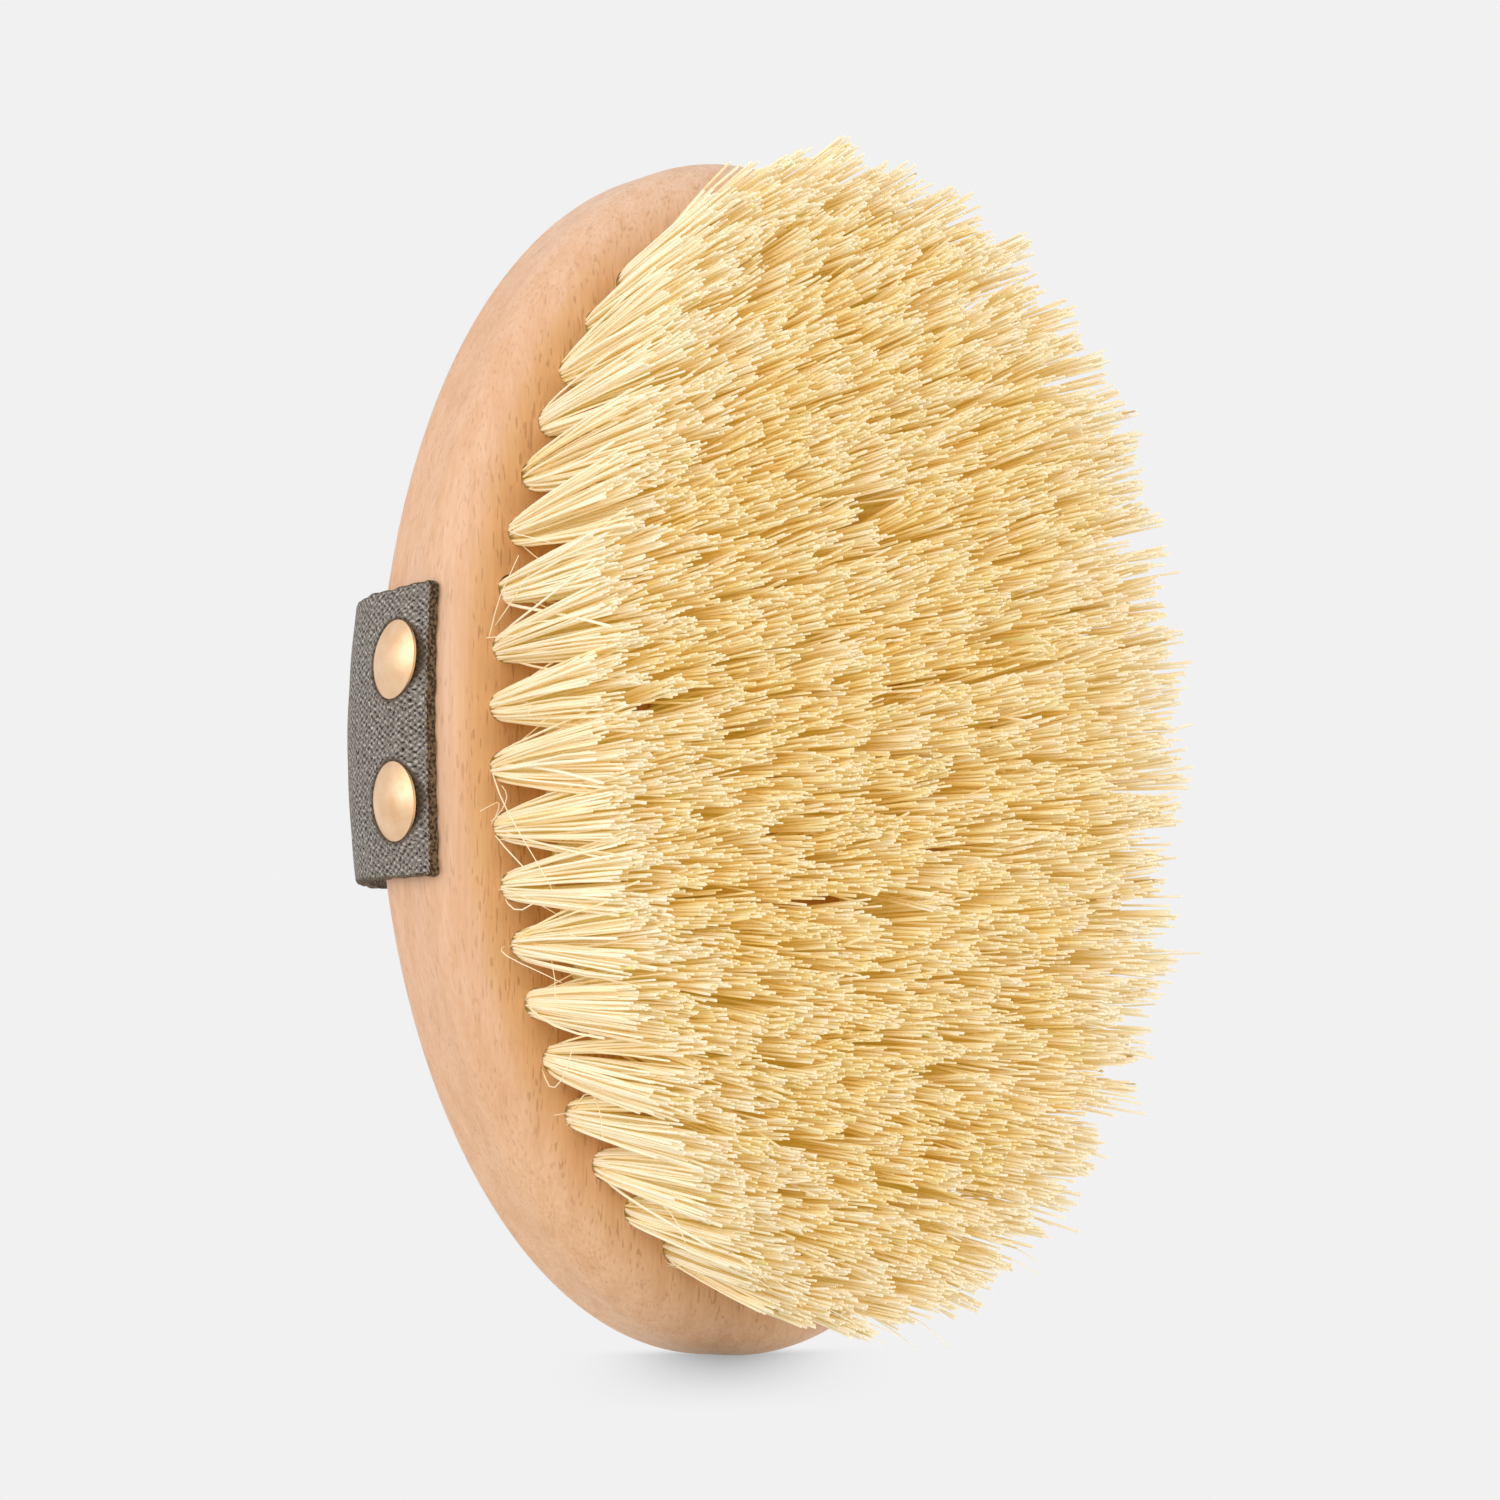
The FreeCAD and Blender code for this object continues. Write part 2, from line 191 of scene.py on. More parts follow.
def beech():
    """Steamed beech: straight grain along Z and short dark flecks, with painted light and shade.

    The bristle face is painted darker and more golden, for the shade and golden light that the bristles throw
    on it. The side is painted lighter and rosier, as it is lit. This lit side colour starts just behind the
    bristle face and also reaches over the top. Both ends of the block are painted paler, as lit from above
    and by the floor below. Heights are shares of the block's own height.
    """
    m = Nodes("beech", Specular_IOR_Level=0.42)
    place = m.place()
    _, y, z = m.split(place)

    def by_height(levels, low, high):
        return m.fade(z, levels[0] * block_high.z, levels[1] * block_high.z, low, high)

    bands = m.noise(m.scaled(place, WOOD_BANDS), detail=3.0, rough=0.55, distortion=0.5)
    grain = m.noise(m.scaled(place, WOOD_GRAIN), detail=3.0, rough=0.6)
    streak = m.noise(m.scaled(place, WOOD_STREAKS))
    flecks = m.noise(m.scaled(place, WOOD_FLECKS), detail=0.0)
    sparse = m.noise(m.scaled(place, WOOD_FLECK_GROUPS), detail=1.0)
    fleck = m.calc("MULTIPLY", m.fade(flecks, 0.63, 0.73), m.fade(sparse, 0.34, 0.52))
    # Painted shade and golden bounce light on the bristle face; painted light on the side.
    face = m.ramp(bands, (0.25, srgb(208, 158, 104)), (0.5, srgb(214, 167, 115)), (0.75, srgb(218, 175, 126)))
    side = m.ramp(bands, (0.25, srgb(214, 168, 132)), (0.5, srgb(220, 176, 142)), (0.75, srgb(224, 184, 152)))
    lit_side_share = m.calc("MAXIMUM", m.fade(y, FACE_Y + LIT_SIDE_DEPTH[0], FACE_Y + LIT_SIDE_DEPTH[1]),
                  by_height(LIT_SIDE_HEIGHT, 0.0, 0.7))
    base = m.mix(lit_side_share, face, side)
    # Painted light: the top of the block paler, as lit from above.
    base = m.mix(by_height(PAINTED_TOP_LIGHT_HEIGHT, 0.0, 0.6), base, srgb(228, 197, 172))
    # Painted light: the foot of the block paler, as lit by the floor below.
    base = m.mix(by_height(PAINTED_FOOT_LIGHT_HEIGHT, 0.7, 0.0), base, srgb(230, 184, 140))
    base = m.mix(m.fade(streak, 0.35, 0.75, 0.0, 0.38), base, srgb(202, 146, 96))
    base = m.mix(m.fade(grain, 0.3, 0.75, 0.0, 0.26), base, srgb(188, 132, 86))
    shown = m.calc("MULTIPLY_ADD", lit_side_share, FLECK_STRENGTH_DROP, FLECK_STRENGTH_FACE)
    base = m.mix(m.calc("MULTIPLY", fleck, shown), base, srgb(146, 94, 56))
    m.feed("Base Color", base)
    m.feed("Roughness", m.fade(grain, 0.2, 0.8, 0.42, 0.54))
    pores = m.bump(fleck, 0.35, 0.06 * MM)
    m.feed("Normal", m.bump(grain, 0.18, 0.04 * MM, pores))
    return m.material


def brass():
    """Satin brass: soft cloudy tone and fine scuffs."""
    m = Nodes("brass", Metallic=1.0)
    place = m.place()
    clouds = m.noise(m.scaled(place, (420, 420, 420)), detail=3.0)
    scuffs = m.noise(m.scaled(place, (2600, 900, 2600)), detail=4.0, rough=0.65)
    tone = m.ramp(clouds, (0.3, srgb(232, 190, 146)), (0.55, srgb(240, 203, 164)), (0.8, srgb(246, 214, 180)))
    m.feed("Base Color", m.mix(m.fade(scuffs, 0.55, 0.85, 0.0, 0.25), tone, srgb(196, 150, 92)))
    m.feed("Roughness", m.fade(scuffs, 0.25, 0.8, 0.36, 0.50))
    m.feed("Normal", m.bump(scuffs, 0.06, 0.05 * MM))
    return m.material


def steel_wire():
    """The anchor wire at the bottom of each tuft hole."""
    m = Nodes("anchor_wire", Metallic=1.0)
    lines = m.noise(m.scaled(m.place(), (3000, 900, 3000)))
    m.feed("Base Color", m.ramp(lines, (0.3, srgb(150, 150, 152)), (0.7, srgb(196, 196, 198))))
    m.feed("Roughness", m.fade(lines, 0.3, 0.7, 0.3, 0.45))
    return m.material


FIBRE_MAP = "OFBake"
GLOW = (0.92, 0.88, 0.10, 1.0)
GLOW_STRENGTH = 0.055


def bristle():
    """Plant fibre, with a faint warm glow for the light that comes through such thin pale fibres.

    The fibre map holds the fibre's tone across and the distance along it upwards. Its tip is paler.
    """
    m = Nodes("bristle", Specular_IOR_Level=0.22, Emission_Color=GLOW, Emission_Strength=GLOW_STRENGTH)
    tone, along, _ = m.split(m.uv(FIBRE_MAP))
    streaks = m.noise(m.join(m.calc("MULTIPLY", tone, 160.0), m.calc("MULTIPLY", along, 5.0)))
    body = m.ramp(
        tone,
        (0.00, srgb(251, 240, 218)),
        (0.22, srgb(251, 235, 206)),
        (0.45, srgb(249, 230, 182)),
        (0.68, srgb(246, 218, 152)),
        (0.88, srgb(234, 196, 116)),
        (0.93, srgb(232, 218, 150)),
        (1.00, srgb(200, 154, 92)),
    )
    body = m.mix(m.fade(streaks, 0.35, 0.7, 0.0, 0.25), body, srgb(246, 222, 170), "MULTIPLY")
    body = m.mix(m.fade(along, 0.965, 0.985, 0.0, 0.45), body, srgb(251, 234, 210))
    m.feed("Base Color", body)
    m.feed("Roughness", m.fade(streaks, 0.3, 0.7, 0.5, 0.65))
    return m.material


STRAP_MAP = "StrapMap"
# In millimetres along and across the strap: the knit's pitch, and how far its stitches wander.
KNIT_PITCH = (1.25, 0.78)
KNIT_WANDER = (1.3, 0.9, 0.0)
KNIT_LOOSENESS = 2.6
# The painted shade on the cloth round a tack's head, where the cloth meets it: where it starts and ends past
# the rim, and how dark it is.
RING_START, RING_END, RIM_SHADE_DARKNESS = 0.1 * MM, 0.75 * MM, 0.85


def knit_pattern(m):
    """The strap's own map in millimetres, and the masks of the knit's holes and of its pale threads.

    Holes and threads come from two crossed waves, loosened by noise and pushed about by another.
    """
    flat = m.uv(STRAP_MAP)
    wander = m.noise(m.scaled(flat, (1.6, 1.6, 1.0)), output="Color")
    wander = m.scaled(m.moved(wander, (-0.5, -0.5, -0.5)), KNIT_WANDER)
    along, across, _ = m.split(m.moved(flat, wander))
    turn_along, turn_across = (2 * math.pi / pitch for pitch in KNIT_PITCH)
    first = m.calc("COSINE", m.calc("MULTIPLY", along, turn_along))
    second = m.calc("COSINE", m.calc("MULTIPLY", across, turn_across))
    loose = m.noise(m.scaled(flat, (1.5, 2.4, 1.0)), detail=1.0)
    loose = m.calc("MULTIPLY", m.calc("SUBTRACT", loose, 0.5), KNIT_LOOSENESS)
    weave = m.calc("ADD", m.calc("MULTIPLY", first, second), loose)
    return flat, m.fade(weave, 0.35, 0.95), m.fade(weave, -0.15, -0.95)


def tack_rim_shade(m):
    """The painted shade on the cloth round the rim of a tack's head, where the cloth meets it: strongest at
    the rim, and none just past it.
    """
    low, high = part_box("tack_left_upper")
    lower_low, lower_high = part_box("tack_left_lower")
    upper_z, lower_z = (low.z + high.z) / 2, (lower_low.z + lower_high.z) / 2
    _, y, z = m.split(m.place())
    folded = m.calc("ABSOLUTE", m.calc("SUBTRACT", z, (upper_z + lower_z) / 2))
    rise = m.calc("SUBTRACT", folded, (upper_z - lower_z) / 2)
    reach = m.calc("SUBTRACT", y, (low.y + high.y) / 2)
    squares = m.calc("ADD", m.calc("MULTIPLY", rise, rise), m.calc("MULTIPLY", reach, reach))
    rim = (high.z - low.z) / 2
    return m.fade(m.calc("SQRT", squares), rim + RING_START, rim + RING_END, RIM_SHADE_DARKNESS, 0.0)


def knit():
    """Warm grey knitted mesh with small staggered holes, painted near-black for the shade inside them, and
    paler threads between them.
    """
    m = Nodes("knit", Roughness=0.92, Specular_IOR_Level=0.15, Sheen_Weight=0.12, Sheen_Roughness=0.5)
    flat, holes, threads = knit_pattern(m)
    cloudy = m.noise(m.scaled(flat, (0.22, 0.22, 1.0)), detail=3.0)
    specks = m.noise(m.scaled(flat, (3.2, 3.2, 1.0)))
    thread = m.mix(threads, srgb(124, 116, 106), srgb(190, 182, 172))
    thread = m.mix(m.fade(specks, 0.42, 0.70, 0.0, 0.5), thread, srgb(96, 88, 78))
    thread = m.mix(m.fade(cloudy, 0.3, 0.7, 0.0, 0.2), thread, srgb(120, 108, 94))
    hole_depth_and_shade = m.calc("MULTIPLY", holes, m.fade(specks, 0.25, 0.6, 0.5, 1.0))
    # The holes are painted near-black for the shade inside them; the same mask sinks them in the relief.
    base = m.mix(hole_depth_and_shade, thread, srgb(24, 20, 16))
    # Painted shade on the cloth round each tack's head.
    m.feed("Base Color", m.mix(tack_rim_shade(m), base, srgb(74, 52, 30)))
    height = m.calc("SUBTRACT", m.calc("MULTIPLY", threads, 0.5), hole_depth_and_shade)
    m.feed("Normal", m.bump(height, 0.9, 0.25 * MM))
    return m.material


def cut_edge():
    """The strap's cut edge: olive-brown core, with the gaps between the yarns painted dark for the shade in
    them.
    """
    m = Nodes("strap_edge", Roughness=0.95, Specular_IOR_Level=0.1, Sheen_Weight=0.15, Sheen_Roughness=0.5)
    place = m.place()
    yarns = m.noise(m.scaled(place, (2400, 2400, 2400)))
    clouds = m.noise(m.scaled(place, (500, 500, 500)))
    core = m.mix(clouds, srgb(128, 100, 62), srgb(104, 94, 80))
    # Painted shade in the gaps between the yarns.
    m.feed("Base Color", m.mix(m.fade(yarns, 0.42, 0.6), srgb(52, 38, 20), core))
    m.feed("Normal", m.bump(yarns, 0.9, 0.3 * MM))
    return m.material


# ---------------------------------------------------------------- fibres

FIBRE_SEED = 4100
FIBRES_PER_TUFT = 108
LOCKS_PER_TUFT = 7
# A fibre's tube: its sides, and its stations as shares of its length from the bristle face.
SIDES = 5
STATIONS = np.array([-0.16, 0.0, 0.07, 0.18, 0.38, 0.68, 1.0])
# A tuft: its radius at the face and at the tips, and the extra lean of the right-hand ones.
BUNDLE_RADIUS = 1.62 * MM
TIP_RADIUS = 5.2 * MM
SPLAY = np.array([1.5, -0.8]) * MM
# The length of a tuft past the face, and how soon it flares along that.
FULL_LENGTH = 27.0 * MM
FLARE = 0.78
# How far a tuft leans at random, how far out its locks lie and how far a fibre moves towards its lock.
LEAN_SCATTER = 0.018
LOCK_REACH = 0.92
LOCK_PULL = (0.25, 0.65)
# Scatter of a fibre's tip, bend and length, and a stray fibre's extra.
SPREAD_SCATTER, BEND_SCATTER = 0.42 * MM, 0.45 * MM
LOCK_LENGTH_SCATTER, LENGTH_SCATTER = 0.45 * MM, 0.50 * MM
STRAY_SHARE, STRAY_SPREAD, STRAY_BEND, STRAY_LENGTH = 0.05, 1.7 * MM, 1.2 * MM, (-2.0, 1.2)
SHORT_SHARE, SHORT_BY = 0.16, (0.6, 4.5)
WAVE_RATE, WAVE_SCATTER = (3.0, 7.0), 0.16 * MM
# In millimetres, with the share of it that is lost by the tip.
FIBRE_RADIUS, TAPER = (0.125, 0.20), 0.10
# Tufts above this height have few stray hairs, and those below this one have long hanging hairs.
HIGH_TUFTS = CENTRE_Z + 0.45 * HALF_LENGTH
LOW_TUFTS = CENTRE_Z - 0.72 * HALF_LENGTH
# Mean tone from 0, pale, to 1, dark, its scatter, and the tones of the few odd green and brown fibres.
# The mean tone of each ring is painted light and shade: the outer ring paler, as most lit, and the inner
# rings darker and more golden, as shaded among the fibres.
OUTER_LIT_TONE, SECOND_SHADED_TONE, INNER_SHADED_TONE = 0.10, 0.30, 0.38
FIBRE_TONE_SCATTER, LOCK_TONE_SCATTER, TUFT_TONE_SCATTER = 0.11, 0.08, 0.04
DARKEST_TONE = 0.9
GREEN_TONE, BROWN_TONE = 0.93, 0.99
GREEN_SHARE, BROWN_SHARE = 0.004, 0.006
# Stray hairs: reach and radius in millimetres, how far they go sideways and curl, and their tone.
HAIR_REACH, HAIR_RADIUS = (9.0, 19.0), (0.06, 0.10)
HAIR_SIDE, HAIR_CURL = 4.0, 2.4
HAIR_TONE, HAIR_TONE_SCATTER = 0.12, 0.1
# The hanging ones reach further, go this way and keep this share of their sideways run and curl.
HANGING_REACH = 9.0 * MM
HANGING_WAY = np.array([1.5, -5.5]) * MM
HANGING_SHARE = 0.35
# The fibre map: strips of equal tone across, and the height that the tube's wall takes of it.
STRIPS = 40
STRIP_MARGIN, STRIP_WIDTH = 0.15, 0.7
WALL_SHARE = 0.96
TIP_CAP, ROOT_CAP = 0.988, 0.012


def tuft_axes(node):
    """(root centre, tip centre, tilt of the trimmed tips) of every tuft in a CAD node, from the lowest up."""
    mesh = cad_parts[node].data
    points = np.empty(len(mesh.vertices) * 3)
    mesh.vertices.foreach_get("co", points)
    points = points.reshape(-1, 3)
    _, welded = np.unique(np.round(points / (0.001 * MM)).astype(np.int64), axis=0, return_inverse=True)
    welded = welded.reshape(-1)
    ends = np.empty(len(mesh.edges) * 2, np.int64)
    mesh.edges.foreach_get("vertices", ends)
    ends = welded[ends].reshape(-1, 2)
    label = np.arange(welded.max() + 1)
    while True:
        lower = label.copy()
        np.minimum.at(lower, ends[:, 0], label[ends[:, 1]])
        np.minimum.at(lower, ends[:, 1], label[ends[:, 0]])
        lower = lower[lower]
        if (lower == label).all():
            break
        label = lower
    owner = label[welded]

    mesh.calc_loop_triangles()
    corners = np.empty(len(mesh.loop_triangles) * 3, np.int32)
    mesh.loop_triangles.foreach_get("vertices", corners)
    corners = corners.reshape(-1, 3)
    normals = np.empty(len(mesh.loop_triangles) * 3)
    mesh.loop_triangles.foreach_get("normal", normals)
    normals = normals.reshape(-1, 3)
    axes = []
    for tuft in np.unique(owner):
        own = owner[corners[:, 0]] == tuft
        root_cap, tip_cap = own & (normals[:, 1] > 0.8), own & (normals[:, 1] < -0.8)
        root, tip = points[corners[root_cap].reshape(-1)], points[corners[tip_cap].reshape(-1)]
        square = normals[tip_cap].mean(0)
        axes.append(((root.min(0) + root.max(0)) / 2, (tip.min(0) + tip.max(0)) / 2, -square[2] / square[1]))
    return sorted(axes, key=lambda axis: axis[1][2])


def face_point(root, tip):
    """Where a tuft's axis crosses the bristle face, and its sideways run per metre of depth, both (x, z)."""
    slope = (tip[[0, 2]] - root[[0, 2]]) / (root[1] - tip[1])
    return root[[0, 2]] + slope * (root[1] - FACE_Y), slope


def disc(rng, count):
    """Evenly scattered points of the unit disc, (count, 2)."""
    reach = np.sqrt(rng.random(count))
    turn = rng.random(count) * 2 * math.pi
    return np.stack([reach * np.cos(turn), reach * np.sin(turn)], 1)


def tuft_fibres(rng, root, tip, tilt, pale):
    """Centre lines, radii and tones of one tuft's fibres: they part into locks, fan out and end unevenly."""
    count = FIBRES_PER_TUFT
    face, slope = face_point(root, tip)
    slope = slope + rng.normal(0, LEAN_SCATTER, 2)

    start = disc(rng, count)
    locks = disc(rng, LOCKS_PER_TUFT) * LOCK_REACH
    nearest = np.argmin(((start[:, None] - locks[None]) ** 2).sum(2), 1)
    target = start + (locks[nearest] - start) * rng.uniform(*LOCK_PULL, (count, 1))
    spread = target * TIP_RADIUS - start * BUNDLE_RADIUS
    spread += rng.normal(0, SPREAD_SCATTER, (count, 2))
    spread += SPLAY * max(tip[0] / HALF_WIDTH, 0.0) ** 2
    bend = rng.normal(0, BEND_SCATTER, (count, 2))
    stray = rng.random(count) < STRAY_SHARE
    spread[stray] += rng.normal(0, STRAY_SPREAD, (stray.sum(), 2))
    bend[stray] += rng.normal(0, STRAY_BEND, (stray.sum(), 2))

    length = FACE_Y - tip[1] - tilt * spread[:, 1]
    lock_length = rng.normal(0, LOCK_LENGTH_SCATTER, LOCKS_PER_TUFT)[nearest]
    length += lock_length + rng.normal(0, LENGTH_SCATTER, count)
    short = rng.random(count) < SHORT_SHARE
    length[short] -= rng.uniform(*SHORT_BY, short.sum()) * MM
    length[stray] += rng.uniform(*STRAY_LENGTH, stray.sum()) * MM

    depth = STATIONS[None, :] * length[:, None]
    free = np.clip(depth / FULL_LENGTH, 0, None)[..., None]
    wave_turn = rng.random((count, 1, 2)) * 2 * math.pi
    wave_rate = rng.uniform(*WAVE_RATE, (count, 1, 1))
    wave = np.sin(wave_rate * free + wave_turn) * free * rng.normal(0, WAVE_SCATTER, (count, 1, 1))
    flat = face + slope * depth[..., None] + start[:, None] * BUNDLE_RADIUS
    flat = flat + spread[:, None] * free**FLARE + bend[:, None] * (free**2 - free * 0.5) + wave
    lines = np.stack([flat[..., 0], FACE_Y - depth, flat[..., 1]], 2)

    radius = rng.uniform(*FIBRE_RADIUS, (count, 1)) * MM * (1.0 - TAPER * np.clip(free[..., 0], 0, 1))
    tone = rng.normal(pale, FIBRE_TONE_SCATTER, count)
    tone = tone + rng.normal(0, LOCK_TONE_SCATTER, LOCKS_PER_TUFT)[nearest] + rng.normal(0, TUFT_TONE_SCATTER)
    tone = np.clip(tone, 0.01, DARKEST_TONE)
    odd = rng.random(count)
    tone[odd < GREEN_SHARE] = GREEN_TONE
    tone[odd > 1 - BROWN_SHARE] = BROWN_TONE
    return lines, radius, tone


def curl_fibres(rng, root, tip, outward, count):
    """A few hair-thin fibres that stray out of the tuft's foot and curl back across its neighbours.

    Those of the lowest tufts are long and hang down.
    """
    steps = np.linspace(0, 1, len(STATIONS))
    face, _ = face_point(root, tip)
    outward = np.array(outward)
    hanging = tip[2] < LOW_TUFTS
    lines = []
    for _ in range(count):
        reach = rng.uniform(*HAIR_REACH) * MM
        side = rng.normal(0, HAIR_SIDE, 2) * MM + outward * rng.uniform(-0.8, 0.4) * MM
        curl = rng.normal(0, HAIR_CURL, 2) * MM
        if hanging:
            reach += HANGING_REACH
            side = side * HANGING_SHARE + HANGING_WAY
            curl *= HANGING_SHARE
        begin = face + outward * BUNDLE_RADIUS * 0.9 + rng.normal(0, 0.5, 2) * MM
        flat = begin + side * steps[:, None] ** 1.2 + curl * np.sin(math.pi * steps)[:, None]
        depth = reach * np.sin(steps * rng.uniform(1.0, 1.5)) - 1.0 * MM * (1 - steps)
        lines.append(np.stack([flat[:, 0], FACE_Y - depth, flat[:, 1]], 1))
    radius = rng.uniform(*HAIR_RADIUS, (count, 1)) * MM * np.linspace(1.0, 0.6, len(STATIONS))
    return np.array(lines), radius, np.clip(rng.normal(HAIR_TONE, HAIR_TONE_SCATTER, count), 0.01, 0.5)


def rest_on_floor(height):
    """Heights eased so that nothing passes through the floor: what would do so lies just above it."""
    clear, ease = 0.5 * MM, 0.6 * MM
    return clear + ease * np.logaddexp(0, (height - clear) / ease)


def fibre_mesh(name, rng, lines, radius, tone):
    """Closed tubes along the lines, with each fibre's tone and length written to the fibre map."""
    count, rings = lines.shape[:2]
    tangent = np.gradient(lines, axis=1)
    tangent /= np.linalg.norm(tangent, axis=2, keepdims=True)
    across = np.array([1.0, 0.0, 0.0]) - tangent * tangent[..., :1]
    across /= np.linalg.norm(across, axis=2, keepdims=True)
    other = np.cross(tangent, across)
    angle = np.arange(SIDES) * 2 * math.pi / SIDES + rng.random((count, 1)) * 2 * math.pi
    wide = rng.uniform(0.8, 1.25, (count, 1, 1))
    cos = (np.cos(angle)[:, None] * wide)[..., None]
    sin = (np.sin(angle)[:, None] / wide)[..., None]
    section = cos * across[:, :, None] + sin * other[:, :, None]
    points = lines[:, :, None] + radius[..., None, None] * section

    first = np.arange(count)[:, None, None] * rings * SIDES
    ring = np.arange(rings - 1)[None, :, None] * SIDES
    side = np.arange(SIDES)[None, None, :]
    near, far = first + ring, first + ring + SIDES
    following = (side + 1) % SIDES
    quads = np.stack([near + side, far + side, far + following, near + following], 3)
    tip_cap = first[:, 0] + (rings - 1) * SIDES + np.arange(SIDES)[::-1]
    root_cap = first[:, 0] + np.arange(SIDES)

    strip = np.floor(np.clip(tone, 0, 0.999) * STRIPS)[:, None, None]
    left = (strip + STRIP_MARGIN + STRIP_WIDTH * side / SIDES) / STRIPS + np.zeros((1, rings - 1, 1))
    right = left + STRIP_WIDTH / SIDES / STRIPS
    low = (np.arange(rings - 1)[None, :, None] / (rings - 1)) * WALL_SHARE + np.zeros_like(left)
    high = low + WALL_SHARE / (rings - 1)
    quad_map = np.stack([np.stack([left, low], 3), np.stack([left, high], 3),
                         np.stack([right, high], 3), np.stack([right, low], 3)], 3)
    ring_turn = np.arange(SIDES) * 2 * math.pi / SIDES
    cap_u = (strip[:, 0] + 0.5 + 0.3 * np.cos(ring_turn)) / STRIPS
    tip_map, root_map = (np.stack([cap_u, middle + 0.01 * np.sin(ring_turn) + np.zeros_like(cap_u)], 2)
                         for middle in (TIP_CAP, ROOT_CAP))

    corners = np.concatenate([quads.reshape(-1), tip_cap.reshape(-1), root_cap.reshape(-1)])
    quad_count = quads.size // 4
    starts = np.concatenate([np.arange(quad_count) * 4, quad_count * 4 + np.arange(2 * count) * SIDES])
    mesh = bpy.data.meshes.new(name)
    mesh.vertices.add(points.size // 3)
    mesh.vertices.foreach_set("co", points.astype(np.float32).reshape(-1))
    mesh.loops.add(len(corners))
    mesh.loops.foreach_set("vertex_index", corners.astype(np.int32))
    mesh.polygons.add(len(starts))
    mesh.polygons.foreach_set("loop_start", starts.astype(np.int32))
    mesh.update(calc_edges=True)
    mesh.polygons.foreach_set("use_smooth", np.arange(len(starts)) < quad_count)
    fibre_map = mesh.uv_layers.new(name=FIBRE_MAP)
    coordinates = np.concatenate([quad_map.reshape(-1), tip_map.reshape(-1), root_map.reshape(-1)])
    fibre_map.data.foreach_set("uv", coordinates.astype(np.float32))
    mesh.update()
    return mesh


def add_piece(name, mesh, slot, *materials):
    """A piece of the brush, riding on its one body."""
    piece = bpy.data.objects.new(name, mesh)
    bpy.context.scene.collection.objects.link(piece)
    for material in materials:
        mesh.materials.append(material)
    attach(piece, "root")
    return piece


def make_bristles():
    """One piece of fibres for each CAD node of tufts, with stray hairs at the outer ring."""
    material = bristle()
    nodes = sorted(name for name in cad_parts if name.startswith("tufts"))
    for seed, node in enumerate(nodes):
        rng = np.random.default_rng(FIBRE_SEED + seed)
        outer = "ring_1" in node
        # The ring's mean tone: painted light on the outer ring, painted shade on the inner ones.
        pale = OUTER_LIT_TONE if outer else SECOND_SHADED_TONE if "ring_2" in node else INNER_SHADED_TONE
        parts = []
        for root, tip, tilt in tuft_axes(node):
            parts.append(tuft_fibres(rng, root, tip, tilt, pale))
            if outer:
                away = np.array([tip[0] / HALF_WIDTH, (tip[2] - CENTRE_Z) / HALF_LENGTH])
                curls = rng.integers(0, 2) if tip[2] > HIGH_TUFTS else rng.integers(2, 6)
                if curls:
                    parts.append(curl_fibres(rng, root, tip, away / np.linalg.norm(away), curls))
        lines, radius, tone = (np.concatenate(column) for column in zip(*parts))
        lines[..., 2] = rest_on_floor(lines[..., 2])
        name = node.replace("tufts", "bristles")
        piece = add_piece(name, fibre_mesh(name, rng, lines, radius, tone), "bristle", material)
        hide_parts(node)


# ---------------------------------------------------------------- strap

STRAP_SEED = 77
STRAP_THICKNESS = 1.5 * MM
END_WIDTH = 33.6 * MM
WAIST_WIDTH = 32.0 * MM
STRAP_LIFT = (strap_low.z + strap_high.z) / 2 - CENTRE_Z
# The strap's line: it starts on the block's front rounding, and the arch springs from the walls behind it.
FRONT_ROUND = 6.0 * MM
WRAP_ANGLE = 38.0
SPRING_DEPTH = 11.5 * MM
# How much of the walls' curve the strap still follows at the top of the arch.
TOP_BOW = 0.08
STRAP_STEP = 0.4 * MM
# The cut ends: extra stations there, their thickness, their corners and their slanting cut.
END_STATIONS = np.array([0.0, 0.08, 0.22]) * MM
END_HEIGHTS = np.array([0.80, 0.95, 1.0])
END_MARGIN = 0.5 * MM
CORNER_ROUND = 0.9 * MM
END_SLANT = 0.7 * MM
# The rounded long edge: how far it stands out and at what level, from the outer face to the inner one.
EDGE_INSET = 0.22 * MM
EDGE_OUT = np.array([0.70, 0.95, 1.0, 1.0, 0.95, 0.70])
EDGE_LEVELS = np.array([0.97, 0.80, 0.35, -0.35, -0.80, -0.97])
EDGE_POINTS = len(EDGE_LEVELS)
# The pucker round a tack's head: its height in millimetres, the place and width of its crest, and its fade
# towards the cut ends.
PUCKER_HEIGHT = 0.42
PUCKER_CREST = 0.5 * MM
PUCKER_WIDTH = 0.8 * MM
PUCKER_FADE = 2.2 * MM
# Unevenness of the long edges, of the cut ends and of the outer face.
EDGE_WAVE, CUT_WAVE, FACE_WAVE = 0.07 * MM, 0.10 * MM, 0.035 * MM
CUT_FADE = 1.2 * MM


